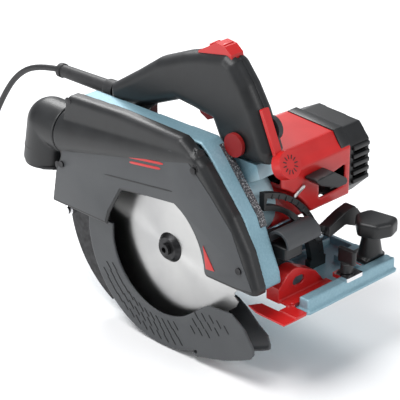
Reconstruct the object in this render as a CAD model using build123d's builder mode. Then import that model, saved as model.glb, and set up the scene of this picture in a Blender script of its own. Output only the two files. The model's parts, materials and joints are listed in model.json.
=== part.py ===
"""Portable circular saw with a mains cord: 237 mm blade, 88 mm deep cut, 0 to 45 degree bevel.

Frame: +X forward along the cut, +Y to the motor side, +Z up. The origin lies on the sole's underside,
under the arbor, 100 mm beside the cut line. In the sections below, y is counted from the cut line.
"""
import os
from math import atan2, cos, degrees, pi, radians, sin, tan

from build123d import *

os.makedirs("parts", exist_ok=True)

# Driving dimensions, mm
CUT_Y = -100.0  # the blade's mid-plane in the part's frame
BLADE_R = 118.5
BLADE_T = 1.8
TEETH = 24
ARBOR_Z = 30.5
ARBOR_R = 10.0
COVER_Y = (-27.0, -8.0)  # black cover, right and left faces
CASTING_Y = (-8.0, 23.0)  # light alloy guard casting, right and left faces
WALL = 3.0
GUARD_WALL_Y = 18.5  # outer face of each lower guard wall, on either side of the cut
GUARD_R = 127.0
KNIFE_SLOT = 5.0
TOE_SLOT = 27.0
ARC_R = (116.0, 138.0)  # bevel arcs, about the cut line
SLOT_R = 127.0
FRONT_ARC_X = 118.0
REAR_ARC_X = -166.0
ARC_T = 8.0
ARC_END_Y = 28.6  # the arcs stop beside the guard casting
DEPTH_PIVOT = (-140.0, 34.0)  # x and z of the depth hinge
MOTOR = (63.6, 101.4)  # x and z of the motor axis
ARBOR_TEETH, LAY_PINION_TEETH, LAY_GEAR_TEETH, MOTOR_TEETH = 34, 18, 60, 15
MODULE = 1.5
HANDLE_Y = 42.0  # handle's mid-plane
HANDLE_HALF = 18.0
SOLE_T = 4.0
FLOOR_Z = -97.5  # surface under the closed lower guard, where the cord lies
CORD_R = 3.9
RUN = 0.05  # radial clearance of running fits
GAP = 0.4  # clearance between pieces that move past each other

GEAR_ANGLE = degrees(atan2(MOTOR[1] - ARBOR_Z, MOTOR[0]))
LAY_DISTANCE = MODULE * (ARBOR_TEETH + LAY_PINION_TEETH) / 2


def side(y):
    """Plane facing right: sketches use x and z, and extrusions grow towards the operator's right."""
    return Plane(origin=(0, CUT_Y + y, 0), x_dir=(1, 0, 0), z_dir=(0, -1, 0))


def across(x):
    """Plane facing forward: sketches use y from the cut line and z, and extrusions grow forward."""
    return Plane(origin=(x, CUT_Y, 0), x_dir=(0, 1, 0), z_dir=(1, 0, 0))


def level(z):
    """Plane facing up: sketches use x and y from the cut line."""
    return Plane(origin=(0, CUT_Y, z), x_dir=(1, 0, 0), z_dir=(0, 0, 1))


def keep(builder, name):
    """Label a finished piece and write its file."""
    builder.part.label = name
    export_step(builder.part, f"parts/{name}.step")


def polar(r, angle, centre=(0, ARBOR_Z)):
    """Point at a radius and an angle in degrees about a centre."""
    return (centre[0] + r * cos(radians(angle)), centre[1] + r * sin(radians(angle)))


LAY = polar(LAY_DISTANCE, GEAR_ANGLE)


def outline(*points):
    """Closed polygon face in the current sketch."""
    with BuildLine() as edge:
        Polyline(*points, close=True)
    make_face(edge.edges())


def band(r_in, r_out, start, end, centre=(0, ARBOR_Z)):
    """Ring sector in the current sketch, between two angles in degrees."""
    middle = (start + end) / 2
    with BuildLine() as edge:
        ThreePointArc(polar(r_out, start, centre), polar(r_out, middle, centre), polar(r_out, end, centre))
        Line(polar(r_out, end, centre), polar(r_in, end, centre))
        ThreePointArc(polar(r_in, end, centre), polar(r_in, middle, centre), polar(r_in, start, centre))
        Line(polar(r_in, start, centre), polar(r_out, start, centre))
    make_face(edge.edges())


def rod(centre, r, y_left, y_right, hole=0.0, mode=Mode.ADD):
    """Round bar along Y, with an optional bore."""
    with BuildSketch(side(y_left)) as sk:
        with Locations(centre):
            Circle(r)
            if hole:
                Circle(hole, mode=Mode.SUBTRACT)
    extrude(sk.sketch, amount=y_left - y_right, mode=mode)


def slab(y_left, y_right, points, corner=0.0, mode=Mode.ADD):
    """Flat piece whose outline is in x and z."""
    with BuildSketch(side(y_left)) as sk:
        outline(*points)
        if corner:
            fillet(sk.vertices(), corner)
    extrude(sk.sketch, amount=y_left - y_right, mode=mode)


def brick(x, y, z, corner=0.0, mode=Mode.ADD):
    """Block between two x, two y and two z, with optional rounded upright edges."""
    with BuildSketch(level(z[0])) as sk:
        with Locations(((x[0] + x[1]) / 2, (y[0] + y[1]) / 2)):
            Rectangle(x[1] - x[0], y[1] - y[0])
        if corner:
            fillet(sk.vertices(), corner)
    extrude(sk.sketch, amount=z[1] - z[0], mode=mode)


def gear(centre, teeth, y_left, y_right, bore, tooth_angle):
    """Spur gear along Y with thin straight-sided teeth, one of them centred at tooth_angle degrees."""
    pitch_r = MODULE * teeth / 2
    radii = [pitch_r - 1.15 * MODULE, pitch_r, pitch_r + 0.8 * MODULE]
    halves = [share * 360 / teeth for share in (0.26, 0.185, 0.10)]
    points = []
    for k in range(teeth):
        middle = tooth_angle + 360 * k / teeth
        points += [polar(r, middle - half, centre) for r, half in zip(radii, halves)]
        points += [polar(r, middle + half, centre) for r, half in zip(radii[::-1], halves[::-1])]
    with BuildSketch(side(y_left)) as sk:
        outline(*points)
        with Locations(centre):
            Circle(bore, mode=Mode.SUBTRACT)
    extrude(sk.sketch, amount=y_left - y_right)


def hull_of(circles, grow=0.0):
    """Outline round a row of circles, each (centre, radius), in the current sketch."""
    with BuildSketch(mode=Mode.PRIVATE) as loose:
        for centre, r in circles:
            with Locations(centre):
                Circle(r + grow)
    add(make_hull(loose.sketch.edges(), mode=Mode.PRIVATE))


# ---- Sole: ribbed die casting with the bevel arcs, chip guard, knob and guide clamps on it ----
SOLE = [(-172, 42), (-48, 42), (-40, 67), (76, 67), (84, 42), (118, 42), (162, 44), (176, 31), (196.5, 31),
        (196.5, 192), (-172, 192)]

with BuildPart() as sole_plate:
    with BuildSketch(level(0)) as sk:
        outline(*SOLE)
        fillet(sk.vertices(), 2.5)
    extrude(amount=SOLE_T)
    brick((180, 194), (33, 189), (SOLE_T, 19))
    brick((186.5, 190), (20, 200), (13, 25), mode=Mode.SUBTRACT)
    brick((-172, -168), (46, 188), (SOLE_T, 14))
    brick((-168, 180), (182, 187), (SOLE_T, 15))
    brick((-150, 108), (145, 148), (SOLE_T, 12))
    brick((-150, 108), (100, 103), (SOLE_T, 12))
    brick((132, 180), (147, 189), (SOLE_T, 15))
keep(sole_plate, "sole_plate")


def bevel_arc(x_back, name):
    """Quadrant on the sole, slotted for the bevel clamp's bolt, with finger slots in its rim."""
    with BuildPart() as arc:
        with BuildSketch(across(x_back)):
            band(ARC_R[0], ARC_R[1], 6.0, 85.0, (0, 0))
        extrude(amount=ARC_T)
        with BuildSketch(across(x_back)):
            band(SLOT_R - 4.3, SLOT_R + 4.3, 24.0, 75.0, (0, 0))
        extrude(amount=ARC_T, mode=Mode.SUBTRACT)
        brick((x_back - 1, x_back + ARC_T + 1), (0, ARC_END_Y), (90, 150), mode=Mode.SUBTRACT)
        brick((x_back, x_back + ARC_T), (112, 140), (SOLE_T, 16))
    keep(arc, name)


bevel_arc(FRONT_ARC_X, "front_arc")
bevel_arc(REAR_ARC_X, "rear_arc")

DOME_X = (138.0, 158.0)
with BuildPart() as chip_guard:
    with BuildSketch(level(0.4)):
        outline((132, -2), (150, -8), (195, -9), (195.5, 12.5), (140, 12.5))
    extrude(amount=2.6)
    brick((169, 195.5), (12, 30), (0.4, 5))
    brick((169, 176), (30, 40), (4.3, 9))
    with BuildSketch(across(DOME_X[0])):
        with BuildLine():
            Polyline((22, 4.4), (22, 24), (40, 39))
            ThreePointArc((40, 39), (50, 42), (60, 39))
            Polyline((60, 39), (87, 25), (104, 4.4), (22, 4.4))
        make_face()
    extrude(amount=DOME_X[1] - DOME_X[0])
    with BuildSketch(across(DOME_X[0] - 1)):
        with BuildLine():
            Polyline((25, 3), (25, 22.5), (41, 36))
            ThreePointArc((41, 36), (50, 39), (59, 36))
            Polyline((59, 36), (85, 22.5), (99, 3), (25, 3))
        make_face()
    extrude(amount=DOME_X[1] - DOME_X[0] - 2, mode=Mode.SUBTRACT)
    brick((157, 172), (24, 106), (4.4, 8))
    with BuildSketch(across(DOME_X[0])):
        with Locations((56, 24)):
            Ellipse(10, 6)
    extrude(amount=30, mode=Mode.SUBTRACT)
keep(chip_guard, "chip_guard")

with BuildPart() as front_knob:
    brick((148, 179.6), (152, 190), (15, 21), 3)
    with BuildSketch(level(21)):
        with Locations((169, 172)):
            Ellipse(14, 17)
    with BuildSketch(level(44)):
        with Locations((169, 172)):
            Ellipse(10, 13)
    loft()
    with BuildSketch(level(44)):
        with Locations((169, 172)):
            Ellipse(10, 13)
    extrude(amount=18)
    with BuildSketch(level(58)) as sk:
        outline((155, 158), (160, 180), (200, 187), (207, 166), (199, 146), (176, 138))
        fillet(sk.vertices(), 7)
    extrude(amount=19)
    fillet(front_knob.edges().group_by(Axis.Z)[-1], 5)
keep(front_knob, "front_knob")

CLAMPS = [(184.0, 112.0), (-124.0, 160.0)]
with BuildPart() as guide_clamps:
    for x, y in CLAMPS:
        bottom = 19.0 if x > 0 else 12.0
        brick((x - 11, x + 14), (y - 14, y + 14), (bottom, bottom + 5), 2)
        with BuildSketch(level(bottom)):
            with Locations((x, y)):
                Circle(3.05)
        extrude(amount=6, mode=Mode.SUBTRACT)
keep(guide_clamps, "guide_clamps")


def wing_screw(x, y, seat, name):
    """Clamp screw with a flat wing head."""
    with BuildPart() as screw:
        with BuildSketch(level(seat - 5)):
            with Locations((x, y)):
                Circle(3.0)
        extrude(amount=12)
        with BuildSketch(level(seat + 0.3)):
            with Locations((x, y)):
                Circle(8)
        extrude(amount=12)
        with BuildSketch(level(seat + 12)) as sk:
            with Locations((x, y)):
                Rectangle(26, 7)
            fillet(sk.vertices(), 3)
        extrude(amount=18)
    keep(screw, name)


wing_screw(*CLAMPS[0], 24.0, "wing_screw_front")
wing_screw(*CLAMPS[1], 17.0, "wing_screw_rear")

# ---- Carriage: tilts between the arcs, and carries the depth hinge and the bevel clamp ----
BOLT_ANGLE = 27.0
BOLT = polar(SLOT_R, BOLT_ANGLE, (0, 0))  # y and z of the bevel clamp's bolt
YOKE_T = 8.0

with BuildPart() as carriage:
    brick((-157, 110), (66, 80), (26, 46), 2)
    with BuildSketch(across(FRONT_ARC_X - GAP - YOKE_T)):
        outline((66, 22), (126, 44), (126, 66), (104, 74), (66, 74), (30, 78), (30, 58), (60, 52))
        with Locations(BOLT):
            Circle(4.05, mode=Mode.SUBTRACT)
    extrude(amount=YOKE_T)
    brick((FRONT_ARC_X - GAP - 1, 160), (30, 60), (58, 74), 2)
    with BuildSketch(across(REAR_ARC_X + ARC_T + GAP)):
        outline((34, 24), (80, 22), (126, 40), (126, 70), (104, 70), (66, 50), (34, 46))
        with Locations(BOLT):
            Circle(4.05, mode=Mode.SUBTRACT)
    extrude(amount=YOKE_T)
    brick((-152, -126), (33, 67), (21, 24.6))
    slab(46, 33, [(-152, 24), (-126, 24), (-129, 46), (-151, 46)], 4)
    rod(DEPTH_PIVOT, 6 + RUN, 66, 20, mode=Mode.SUBTRACT)
keep(carriage, "carriage")

with BuildPart() as pivot_pin:
    rod(DEPTH_PIVOT, 6, 47, 20.5)
    rod(DEPTH_PIVOT, 9, 50, 46.3)
keep(pivot_pin, "pivot_pin")

with BuildPart() as depth_grip:
    with BuildSketch(side(84)):
        with BuildLine():
            Line((133, 76), (167, 76))
            ThreePointArc((167, 76), (150, 95), (133, 76))
        make_face()
    extrude(amount=84 - 27)
    for pocket_left in (85, 46):
        with BuildSketch(side(pocket_left)):
            with BuildLine():
                Line((137, 74), (163, 74))
                ThreePointArc((163, 74), (150, 91), (137, 74))
            make_face()
        extrude(amount=20, mode=Mode.SUBTRACT)
keep(depth_grip, "depth_grip")

with BuildPart() as clamp_bolts:
    for back, front in ((FRONT_ARC_X - 16, FRONT_ARC_X + ARC_T + 16), (REAR_ARC_X - 5, REAR_ARC_X + 24)):
        with BuildSketch(across(back)):
            with Locations(BOLT):
                Circle(4.0)
        extrude(amount=front - back)
    with BuildSketch(across(REAR_ARC_X - 6)):
        with Locations(BOLT):
            RegularPolygon(8, 6)
    extrude(amount=5.5)
    with BuildSketch(across(FRONT_ARC_X - 17)):
        with Locations(BOLT):
            RegularPolygon(8, 6)
    extrude(amount=6)
keep(clamp_bolts, "clamp_bolts")

with BuildPart() as bevel_lever:
    with BuildSketch(across(FRONT_ARC_X + ARC_T + GAP)):
        with Locations(BOLT):
            Circle(10)
            Circle(4.0 + RUN, mode=Mode.SUBTRACT)
    extrude(amount=13)
    with BuildSketch(across(FRONT_ARC_X + ARC_T + 6)) as sk:
        outline((118, 52), (150, 60), (168, 52), (182, 62), (166, 80), (146, 76), (120, 66))
        fillet(sk.vertices(), 3)
    extrude(amount=16)
    with BuildSketch(across(FRONT_ARC_X + ARC_T)):
        with Locations(BOLT):
            Circle(4.0 + RUN)
    extrude(amount=20, mode=Mode.SUBTRACT)
keep(bevel_lever, "bevel_lever")

# ---- Upper guard: alloy casting on the left, black cover with the dust duct on the right ----
CASTING = [(-182, 41), (-175, 87), (-164, 104), (-161, 150), (-152, 184), (-40, 187), (58, 190), (71, 180),
           (129, 113), (142, 84), (159, 47.5), (161, 34), (89, 32), (89, 36), (-89, 36), (-89, 40)]
CASTING_INSIDE = [(-179, -5), (-172, 86), (-160.5, 103), (-157, 150), (-149, 180), (-40, 183), (57, 186),
                  (68, 178),
                  (126, 111), (138.5, 82), (155, 46), (157, -5)]
COVER = [(-184, 39.5), (-176, 87), (-168, 104), (-163, 150), (-152, 190), (-62, 195), (41, 194), (78, 171),
         (124, 121), (149, 84), (166, 41), (165, 33.6), (137, 33), (87, 32), (75, 40), (-89, 40)]
COVER_INSIDE = [(-181, 20), (-173, 86), (-164.5, 103), (-159, 150), (-149, 187), (-62, 191), (40, 190),
                (75, 168.5), (121, 119), (146, 83), (162, 41), (162, 20)]
WINDOW = [(-86, 30), (-83, 46), (-79, 58), (-58, 95), (31.6, 110)]
DUCT_END = (-168.0, 134.0)
DUCT_TIP = (66.0, 177.0)
DUCT_R = 31.0
DUCT_Y = -5.0
LUG_Y = (20.0, 32.5)

with BuildPart() as guard_housing:
    slab(CASTING_Y[1], CASTING_Y[0], CASTING)
    slab(CASTING_Y[1] - WALL, CASTING_Y[0] - 1, CASTING_INSIDE, mode=Mode.SUBTRACT)
    rod((0, ARBOR_Z), 22, CASTING_Y[1], 9)
    with BuildSketch(side(CASTING_Y[1])):
        outline((-150, 44), (-126, 44), (-126, 90), (-150, 90))
        with Locations(DEPTH_PIVOT):
            Circle(12)
    extrude(amount=WALL)
    rod(DEPTH_PIVOT, 12, LUG_Y[1], LUG_Y[0])
    rod(DEPTH_PIVOT, 6 + RUN, LUG_Y[1] + 1, LUG_Y[0] - 1, mode=Mode.SUBTRACT)
    rod((0, ARBOR_Z), 19, CASTING_Y[1] + 1, 12, mode=Mode.SUBTRACT)
    rod((0, ARBOR_Z), ARBOR_R + 1, 13, 8, mode=Mode.SUBTRACT)
    brick((-190, -168), (-3, 3), (20, 100), mode=Mode.SUBTRACT)
    with BuildSketch(across(-175)):
        with Locations((DUCT_Y, DUCT_END[1] + 2.5)):
            Circle(DUCT_R + 3)
    extrude(amount=30, mode=Mode.SUBTRACT)
keep(guard_housing, "guard_housing")

with BuildPart() as guard_cover:
    slab(COVER_Y[1], COVER_Y[0], COVER)
    with BuildSketch(across(DUCT_END[0] - 2)):
        with Locations((DUCT_Y, DUCT_END[1])):
            Circle(DUCT_R)
    with BuildSketch(across(DUCT_TIP[0])):
        with Locations((COVER_Y[0] + 10, DUCT_TIP[1] - 2)):
            Circle(11)
    loft()
    slab(60, COVER_Y[1], [(-146, 60), (-146, 240), (200, 240), (200, 60)], mode=Mode.SUBTRACT)
    slab(COVER_Y[1] + 1, COVER_Y[0] + WALL, COVER_INSIDE, mode=Mode.SUBTRACT)
    with BuildSketch(across(DUCT_END[0] - 3)):
        with Locations((DUCT_Y, DUCT_END[1])):
            Circle(DUCT_R - WALL)
    with BuildSketch(across(DUCT_TIP[0] - 6)):
        with Locations((COVER_Y[0] + 10, DUCT_TIP[1] - 2)):
            Circle(8)
    loft(mode=Mode.SUBTRACT)
    with BuildSketch(side(COVER_Y[0] + WALL + 1)):
        with BuildLine():
            Polyline(*WINDOW)
            ThreePointArc(WINDOW[-1], polar(83, 40), polar(83, 1))
            Polyline(polar(83, 1), (84, 20), WINDOW[0])
        make_face()
    extrude(amount=WALL + 30, mode=Mode.SUBTRACT)
keep(guard_cover, "guard_cover")

COVER_SCREWS = [(66, 163), (-164, 96), (140, 60)]
with BuildPart() as cover_screws:
    for place in COVER_SCREWS:
        rod(place, 4.2, COVER_Y[0] - 0.2, COVER_Y[0] - 2.7)
keep(cover_screws, "cover_screws")

with BuildPart() as dust_elbow:
    with BuildSketch(across(-206)):
        with Locations((DUCT_Y, DUCT_END[1])):
            Circle(DUCT_R)
    extrude(amount=35.2)
    with Locations((-206, CUT_Y + DUCT_Y, DUCT_END[1])):
        Sphere(DUCT_R)
    spout = Plane(origin=(-206, CUT_Y + DUCT_Y, DUCT_END[1]), x_dir=(0, 1, 0), z_dir=(-0.17, 0, -0.985))
    with BuildSketch(spout):
        Circle(DUCT_R)
    extrude(amount=54)
    with BuildSketch(across(-207)):
        with Locations((DUCT_Y, DUCT_END[1])):
            Circle(DUCT_R - WALL)
    extrude(amount=40, mode=Mode.SUBTRACT)
    with Locations((-206, CUT_Y + DUCT_Y, DUCT_END[1])):
        Sphere(DUCT_R - WALL, mode=Mode.SUBTRACT)
    with BuildSketch(spout):
        Circle(DUCT_R - WALL)
    extrude(amount=60, mode=Mode.SUBTRACT)
keep(dust_elbow, "dust_elbow")

with BuildPart() as scale_strip:
    with BuildSketch(side(28)):
        band(158, 168, 24, 53)
    extrude(amount=28 - CASTING_Y[1])
keep(scale_strip, "scale_strip")

# ---- Lower guard: two walls joined by a slotted rim, so that it passes the riving knife ----
NEAR_WALL = [polar(GUARD_R, -60), (61, -89.5), (88, -82.5), (114, -74), (140, -63), (151, -57.5),
             (156.5, -50),
             (157, -43.5), (140, -20.3), (119, -8), (80, -12), (71.8, -18),
             polar(83, -48), polar(83, -60)]
FAR_WALL = [polar(GUARD_R, -60), (61, -89.5), (88, -82.5), (114, -74), (140, -63), (151, -57.5), (151.5, -52),
            (147, -40), (132, -31), (112, -15), (98, -7), (60, 0), polar(60, -60)]
RIM = [(56, -88), (61, -89.5), (88, -82.5), (114, -74), (140, -63), (151, -57.5),
       (149, -54.5), (139, -59.8), (113, -70.8), (87, -79.3), (60, -86.4), (55, -85)]
WALL_T = 3.0


def guard_wall(outside, inside, toe, r_in):
    """One side wall of the lower guard, from its hidden tail round to its toe."""
    with BuildSketch(side(outside)) as sk:
        band(r_in, GUARD_R, -186, -58)
        outline(*toe)
    extrude(sk.sketch, amount=outside - inside)


with BuildPart() as lower_guard:
    guard_wall(-GUARD_WALL_Y + WALL_T, -GUARD_WALL_Y, NEAR_WALL, 83)
    guard_wall(GUARD_WALL_Y, GUARD_WALL_Y - WALL_T, FAR_WALL, 60)
    with BuildSketch(side(GUARD_WALL_Y)):
        with Locations((0, ARBOR_Z)):
            Circle(64)
            Circle(22 + GAP, mode=Mode.SUBTRACT)
    extrude(amount=WALL_T)
    with BuildSketch(side(GUARD_WALL_Y)):
        band(GUARD_R - 3, GUARD_R, -200, -58)
        outline(*RIM)
    extrude(amount=2 * GUARD_WALL_Y)
    with BuildSketch(side(GUARD_WALL_Y)):
        band(GUARD_R - 3, GUARD_R, -200, -186)
    extrude(amount=2 * GUARD_WALL_Y)
    with BuildSketch(side(KNIFE_SLOT / 2)):
        band(GUARD_R - 8, GUARD_R + 8, -186, -50)
    extrude(amount=KNIFE_SLOT, mode=Mode.SUBTRACT)
    slab(KNIFE_SLOT / 2, -KNIFE_SLOT / 2, [(48, -70), (48, -104), (92, -100), (92, -60)], mode=Mode.SUBTRACT)
    slab(TOE_SLOT / 2, -TOE_SLOT / 2, [(84, -60), (84, -100), (170, -70), (170, -30), (120, -40)],
         mode=Mode.SUBTRACT)
keep(lower_guard, "lower_guard")

KNIFE_PIVOT = (-168.0, 53.0)
with BuildPart() as riving_knife:
    with BuildSketch(side(1.1)):
        with BuildLine():
            Polyline((-161, 61), (-173, 61), (-177, 40), (-179, 24))
            ThreePointArc((-179, 24), (-152, -43), (-104, -81))
            Line((-104, -81), polar(122.5, -132))
            ThreePointArc(polar(122.5, -132), polar(122.5, -155), polar(122.5, -174))
            Polyline(polar(122.5, -174), (-141, 24), (-155, 34), (-161, 61))
        make_face()
        with Locations(KNIFE_PIVOT):
            Circle(4 + RUN, mode=Mode.SUBTRACT)
    extrude(amount=2.2)
keep(riving_knife, "riving_knife")

with BuildPart() as knife_bolt:
    rod((-174, 24), 7.5, -1.3, -9)
    rod((-174, 24), 5.5, -9, -14)
keep(knife_bolt, "knife_bolt")

with BuildPart() as knife_pin:
    rod(KNIFE_PIVOT, 4, CASTING_Y[1] - WALL, COVER_Y[0] + WALL)
keep(knife_pin, "knife_pin")

# ---- Blade and arbor ----
with BuildPart() as saw_blade:
    tip_r, root_r = BLADE_R, BLADE_R - 9
    points = []
    for k in range(TEETH):
        start = -360 * k / TEETH
        points += [polar(tip_r, start), polar(tip_r - 1.5, start - 5), polar(root_r + 3, start - 9),
                   polar(root_r, start - 12), polar(root_r + 1, start - 13.6)]
    with BuildSketch(side(BLADE_T / 2)):
        outline(*points)
        with Locations((0, ARBOR_Z)):
            Circle(15 + RUN, mode=Mode.SUBTRACT)
    extrude(amount=BLADE_T)
keep(saw_blade, "saw_blade")

with BuildPart() as inner_flange:
    rod((0, ARBOR_Z), 20, 6, BLADE_T / 2, hole=ARBOR_R + 0.02)
    rod((0, ARBOR_Z), 15, BLADE_T / 2, -BLADE_T / 2, hole=ARBOR_R + 0.02)
keep(inner_flange, "inner_flange")

with BuildPart() as outer_flange:
    with BuildSketch(side(-BLADE_T / 2)):
        with Locations((0, ARBOR_Z)):
            Circle(19)
    extrude(amount=6, taper=40)
    rod((0, ARBOR_Z), ARBOR_R + 0.02, 0, -4.4, mode=Mode.SUBTRACT)
    rod((0, ARBOR_Z), 4.05, 0, -12, mode=Mode.SUBTRACT)
keep(outer_flange, "outer_flange")

with BuildPart() as arbor_shaft:
    rod((0, ARBOR_Z), ARBOR_R, 43.5, -4.2)
    rod((0, ARBOR_Z), 13, 8.4, 6.1)
    rod((0, ARBOR_Z), 4.05, 10, -6, mode=Mode.SUBTRACT)
keep(arbor_shaft, "arbor_shaft")

with BuildPart() as blade_bolt:
    rod((0, ARBOR_Z), 4, 8, -7)
    rod((0, ARBOR_Z), 7.5, -7, -12)
    with BuildSketch(side(-8)):
        with Locations((0, ARBOR_Z)):
            RegularPolygon(4, 6)
    extrude(amount=6, mode=Mode.SUBTRACT)
keep(blade_bolt, "blade_bolt")

# ---- Gear train: motor pinion to layshaft gear, layshaft pinion to arbor gear ----
BRIDGE_Y = (38.5, 43.5)
with BuildPart() as arbor_gear:
    gear((0, ARBOR_Z), ARBOR_TEETH, 37, 27, ARBOR_R + 0.02, GEAR_ANGLE)
keep(arbor_gear, "arbor_gear")

with BuildPart() as layshaft:
    rod(LAY, 6, 62, 23.6)
    gear(LAY, LAY_PINION_TEETH, 37.5, 26.8, 5.9, GEAR_ANGLE + 180 + 180 / LAY_PINION_TEETH)
keep(layshaft, "layshaft")

with BuildPart() as layshaft_gear:
    gear(LAY, LAY_GEAR_TEETH, 54, 45, 6.02, GEAR_ANGLE)
keep(layshaft_gear, "layshaft_gear")

GEAR_CASE = [((0, ARBOR_Z), 30.2), (LAY, 50.0), (MOTOR, 48.0)]
CASE_Y = (CASTING_Y[1] + 0.2, 58.0)
with BuildPart() as gear_case:
    with BuildSketch(side(CASE_Y[1])):
        hull_of(GEAR_CASE)
    extrude(amount=CASE_Y[1] - CASE_Y[0])
    with BuildSketch(side(CASE_Y[1])):
        hull_of(GEAR_CASE, -WALL)
    extrude(amount=CASE_Y[1] - CASE_Y[0] - WALL, mode=Mode.SUBTRACT)
    with BuildSketch(side(BRIDGE_Y[1])):
        hull_of([((0, ARBOR_Z), 27.0), (polar(20, GEAR_ANGLE), 27.0)])
    extrude(amount=BRIDGE_Y[1] - BRIDGE_Y[0])
    rod((0, ARBOR_Z), 16, BRIDGE_Y[1] + 1, BRIDGE_Y[0] - 1, mode=Mode.SUBTRACT)
    rod((0, ARBOR_Z), ARBOR_R + 2, 30, 20, mode=Mode.SUBTRACT)
    rod(LAY, 14, BRIDGE_Y[1] + 1, BRIDGE_Y[0] - 1, mode=Mode.SUBTRACT)
    rod(LAY, 6 + RUN, 30, 20, mode=Mode.SUBTRACT)
    slab(58, 29, [(56, 143), (96, 138), (118, 150), (112, 166.3), (62, 166.3)])
keep(gear_case, "gear_case")

MOTOR_BEARING_R = 13.0
with BuildPart() as bearing_plate:
    with BuildSketch(side(64)):
        hull_of(GEAR_CASE)
        with Locations(MOTOR):
            Circle(MOTOR_BEARING_R, mode=Mode.SUBTRACT)
        with Locations(LAY):
            Circle(10, mode=Mode.SUBTRACT)
    extrude(amount=5.8)
keep(bearing_plate, "bearing_plate")

with BuildPart() as bearings:
    rod((0, ARBOR_Z), 18.98, 22.8, 13.2, hole=ARBOR_R + RUN)
    rod((0, ARBOR_Z), 15.98, BRIDGE_Y[1], BRIDGE_Y[0], hole=ARBOR_R + RUN)
    rod(LAY, 9.98, 64, 58.3, hole=6 + RUN)
    rod(MOTOR, MOTOR_BEARING_R - 0.02, 64, 58.3, hole=6 + RUN)
    rod(MOTOR, 10.98, 214, 206, hole=5 + RUN)
keep(bearings, "bearings")

# ---- Motor ----
MOTOR_BOX = [(2, 72), (14, 56), (26, 52), (80, 52), (100, 69), (120, 80), (120, 143), (113, 150), (104, 163),
             (30, 166), (2, 150)]
MOTOR_INSIDE = [(5.5, 73), (15.5, 59), (27, 55.5), (78, 55.5), (98, 73), (116.5, 83), (116.5, 141),
                (110, 148),
                (102, 159.5), (31, 162.5), (5.5, 148)]
MOTOR_Y = (64.2, 187.0)
END_Y = (187.2, 228.0)
TILT_CLEAR_R = 142.0  # the motor stays outside the bevel arcs

with BuildPart(mode=Mode.PRIVATE) as motor_core:
    slab(MOTOR_Y[1] + 1, MOTOR_Y[0] - 1, MOTOR_INSIDE)
    with BuildSketch(across(102)):
        Circle(TILT_CLEAR_R + 4)
    extrude(amount=40, mode=Mode.SUBTRACT)

with BuildPart() as motor_housing:
    slab(MOTOR_Y[1], MOTOR_Y[0], MOTOR_BOX)
    with BuildSketch(across(106)):
        Circle(TILT_CLEAR_R)
    extrude(amount=40, mode=Mode.SUBTRACT)
    add(motor_core.part, mode=Mode.SUBTRACT)
    with BuildSketch(across(110)):
        outline((132, 92), (178, 94), (178, 122), (132, 112))
    extrude(amount=20, mode=Mode.SUBTRACT)
keep(motor_housing, "motor_housing")

END_OUTSIDE = [(4, 74), (16, 62), (90, 62), (114, 86), (114, 140), (98, 158), (32, 161), (4, 146)]
with BuildPart() as motor_end:
    slab(END_Y[1], END_Y[0], END_OUTSIDE)
    slab(END_Y[1] - WALL, END_Y[0] - 1, [(7, 75), (17, 65), (89, 65), (111, 87), (111, 139), (97, 155),
                                           (33, 158), (7, 145)], mode=Mode.SUBTRACT)
    for z in (94, 105, 116, 127):
        brick((100, 120), (200, 224), (z, z + 5), mode=Mode.SUBTRACT)
        brick((0, 12), (200, 224), (z, z + 5), mode=Mode.SUBTRACT)
    rod(MOTOR, 14, 226, 205)
    rod(MOTOR, 11, 215, 204, mode=Mode.SUBTRACT)
keep(motor_end, "motor_end")

with BuildPart() as stator:
    rod(MOTOR, 37.5, 166, 100, hole=25.6)
keep(stator, "stator")

with BuildPart() as brushes:
    for z in (MOTOR[1] + 16, MOTOR[1] - 34):
        brick((MOTOR[0] - 4, MOTOR[0] + 4), (176, 186), (z, z + 18))
keep(brushes, "brushes")

with BuildPart() as armature_shaft:
    rod(MOTOR, 6, 204, 45)
    rod(MOTOR, 5, 214.5, 203)
    gear(MOTOR, MOTOR_TEETH, 55, 44, 5.9, GEAR_ANGLE + 180 + 180 / MOTOR_TEETH)
keep(armature_shaft, "armature_shaft")

with BuildPart() as armature_core:
    rod(MOTOR, 25, 163, 103, hole=6.02)
keep(armature_core, "armature_core")

with BuildPart() as commutator:
    rod(MOTOR, 15.5, 191, 171, hole=6.02)
keep(commutator, "commutator")

with BuildPart() as fan:
    rod(MOTOR, 37, 74, 71, hole=6.02)
    rod(MOTOR, 12, 86, 73, hole=6.02)
    for k in range(11):
        turn = 360 * k / 11
        slab(86, 73, [polar(11, turn, MOTOR), polar(36.5, turn, MOTOR), polar(36.5, turn + 3, MOTOR),
                      polar(11, turn + 8, MOTOR)])
keep(fan, "fan")

LIFT_HINGE = (111.0, 103.5)  # x and z of the depth lever's hinge, behind the motor's window
LIFT_Y = (146.0, 158.0)
with BuildPart() as depth_lever:
    with BuildSketch(across(121)) as sk:
        outline((100, 131), (134, 133), (158, 117), (158, 110), (140, 110), (112, 121))
        fillet(sk.vertices(), 2)
    extrude(amount=20)
    brick((LIFT_HINGE[0], 125), LIFT_Y, (101, 106))
    brick((121, 125), LIFT_Y, (101, 116))
    rod(LIFT_HINGE, 3.4, LIFT_Y[1], LIFT_Y[0])
keep(depth_lever, "depth_lever")

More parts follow.
